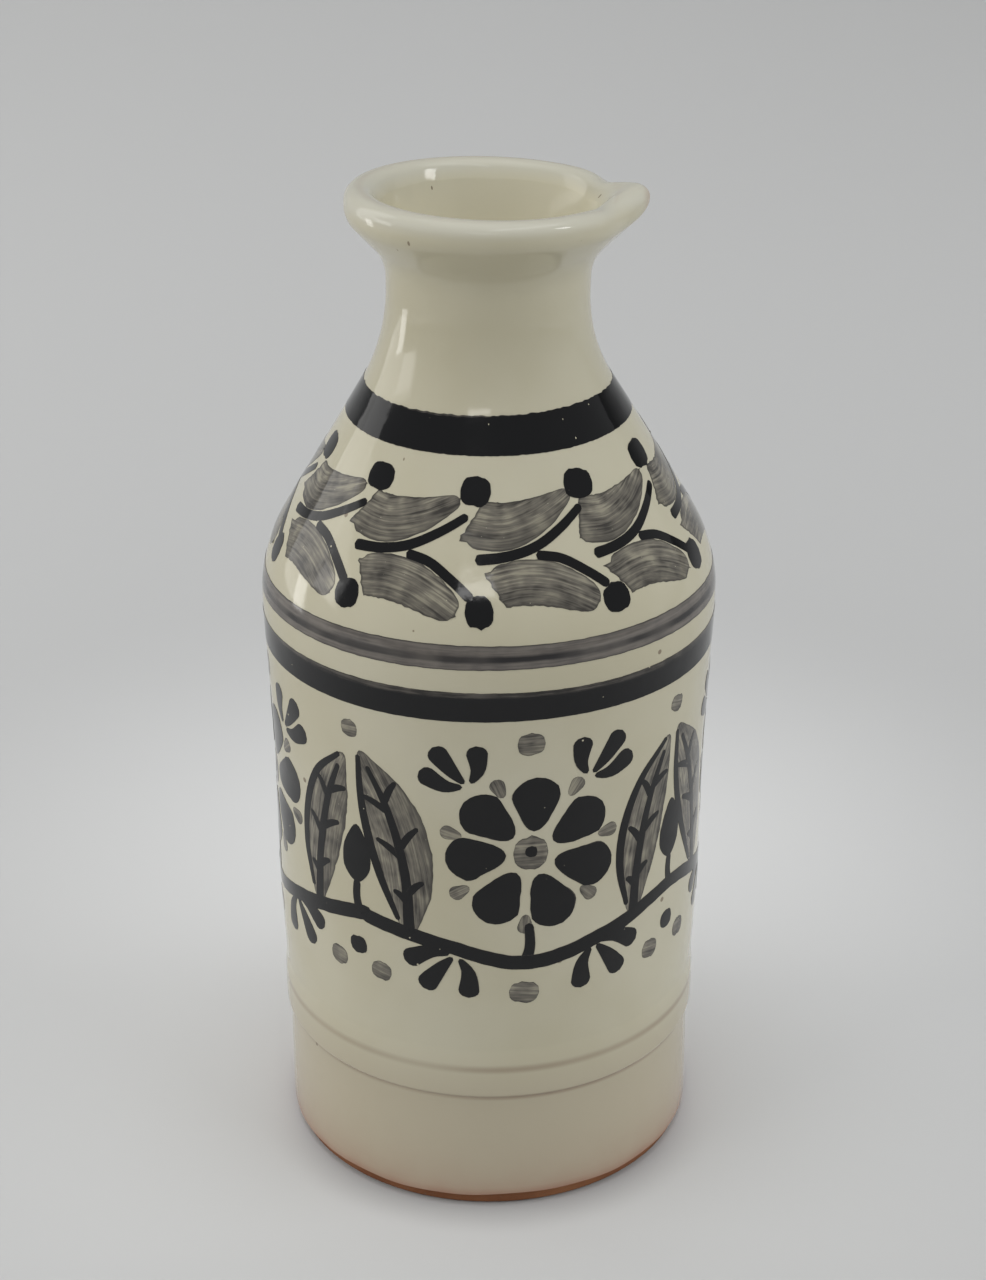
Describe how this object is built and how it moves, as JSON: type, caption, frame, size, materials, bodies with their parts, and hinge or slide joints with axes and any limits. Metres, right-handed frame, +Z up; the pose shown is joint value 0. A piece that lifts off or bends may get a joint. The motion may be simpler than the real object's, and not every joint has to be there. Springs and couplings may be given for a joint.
{
  "type": "oil cruet",
  "caption": "Glazed earthenware oil cruet: round upright body, conical shoulder, short concave neck, rolled lip with a small pinched pouring spout, and a bare clay foot.",
  "frame": {"origin": "on the table under the middle of the foot ring", "axes": "+Z up along the turning axis, +X towards the pouring spout"},
  "size_m": [0.0858, 0.0858, 0.1915],
  "materials": {
    "red_clay": "bare fired earthenware, matt",
    "cream_glaze": "glossy cream glaze with brushed black and grey decoration",
    "liner_cream": "glossy cream glaze"
  },
  "bodies": {
    "root": {"clay_body": "red_clay", "outer_glaze": "cream_glaze", "liner_glaze": "liner_cream"}
  },
  "joints": []
}
